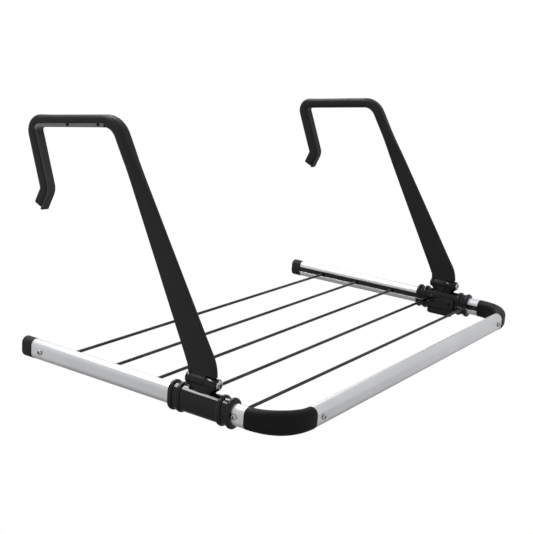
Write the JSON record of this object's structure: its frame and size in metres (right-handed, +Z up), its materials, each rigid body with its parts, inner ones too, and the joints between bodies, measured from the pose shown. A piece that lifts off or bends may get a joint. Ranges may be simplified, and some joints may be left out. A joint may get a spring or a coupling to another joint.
{
  "type": "folding drying rack",
  "caption": "Small drying rack: a U-shaped aluminium tube frame with steel rods hangs over a rail by hooked arms that fold flat over the rods.",
  "frame": {"origin": "on the rail line: midway between the flat undersides of the two hooks, in the rack's middle plane", "axes": "+X along the rods to the right, +Y from the front tube towards the hooks' returned legs, +Z up"},
  "size_m": [0.5202, 0.3344, 0.2636],
  "materials": {
    "tube_aluminium": "satin anodised extrusion",
    "rod_steel": "dark drawn steel rod",
    "bright_steel": "bright zinc plated screws and nuts",
    "black_steel": "blackened steel screws",
    "satin_black": "satin moulded black plastic",
    "gloss_black": "glossy moulded black plastic",
    "grained_black": "fine-grained black plastic",
    "grip_pad": "matt dark grey rubber"
  },
  "bodies": {
    "frame": {"front_tube": "tube_aluminium", "rod_1": "rod_steel", "rod_2": "rod_steel", "rod_3": "rod_steel", "rod_4": "rod_steel", "rod_5": "rod_steel", "side_tube_left": "tube_aluminium", "rod_strip_left": "grained_black", "elbow_left": "satin_black", "end_cap_left": "grained_black", "collar_left": "gloss_black", "clamp_plate_left": "gloss_black", "clamp_screw_front_left": "black_steel", "clamp_screw_back_left": "black_steel", "hinge_screw_left": "bright_steel", "hinge_nut_left": "bright_steel", "corner_screw_left": "bright_steel", "cap_screw_left": "bright_steel", "front_screw_left": "bright_steel", "side_tube_right": "tube_aluminium", "rod_strip_right": "grained_black", "elbow_right": "satin_black", "end_cap_right": "grained_black", "collar_right": "gloss_black", "clamp_plate_right": "gloss_black", "clamp_screw_front_right": "black_steel", "clamp_screw_back_right": "black_steel", "hinge_screw_right": "bright_steel", "hinge_nut_right": "bright_steel", "corner_screw_right": "bright_steel", "cap_screw_right": "bright_steel", "front_screw_right": "bright_steel"},
    "left_arm": {"hook_arm_left": "satin_black", "grip_pad_left": "grip_pad", "pad_screw_front_left": "black_steel", "pad_screw_back_left": "black_steel"},
    "right_arm": {"hook_arm_right": "satin_black", "grip_pad_right": "grip_pad", "pad_screw_front_right": "black_steel", "pad_screw_back_right": "black_steel"}
  },
  "joints": [
    {"name": "left_arm_fold", "type": "hinge", "parent": "frame", "child": "left_arm", "pos_m": [-0.25, -0.17431, -0.20862], "axis": [0, 1, 0], "range_deg": [0, 88]},
    {"name": "right_arm_fold", "type": "hinge", "parent": "frame", "child": "right_arm", "pos_m": [0.25, -0.17431, -0.20862], "axis": [0, -1, 0], "range_deg": [0, 88]}
  ]
}
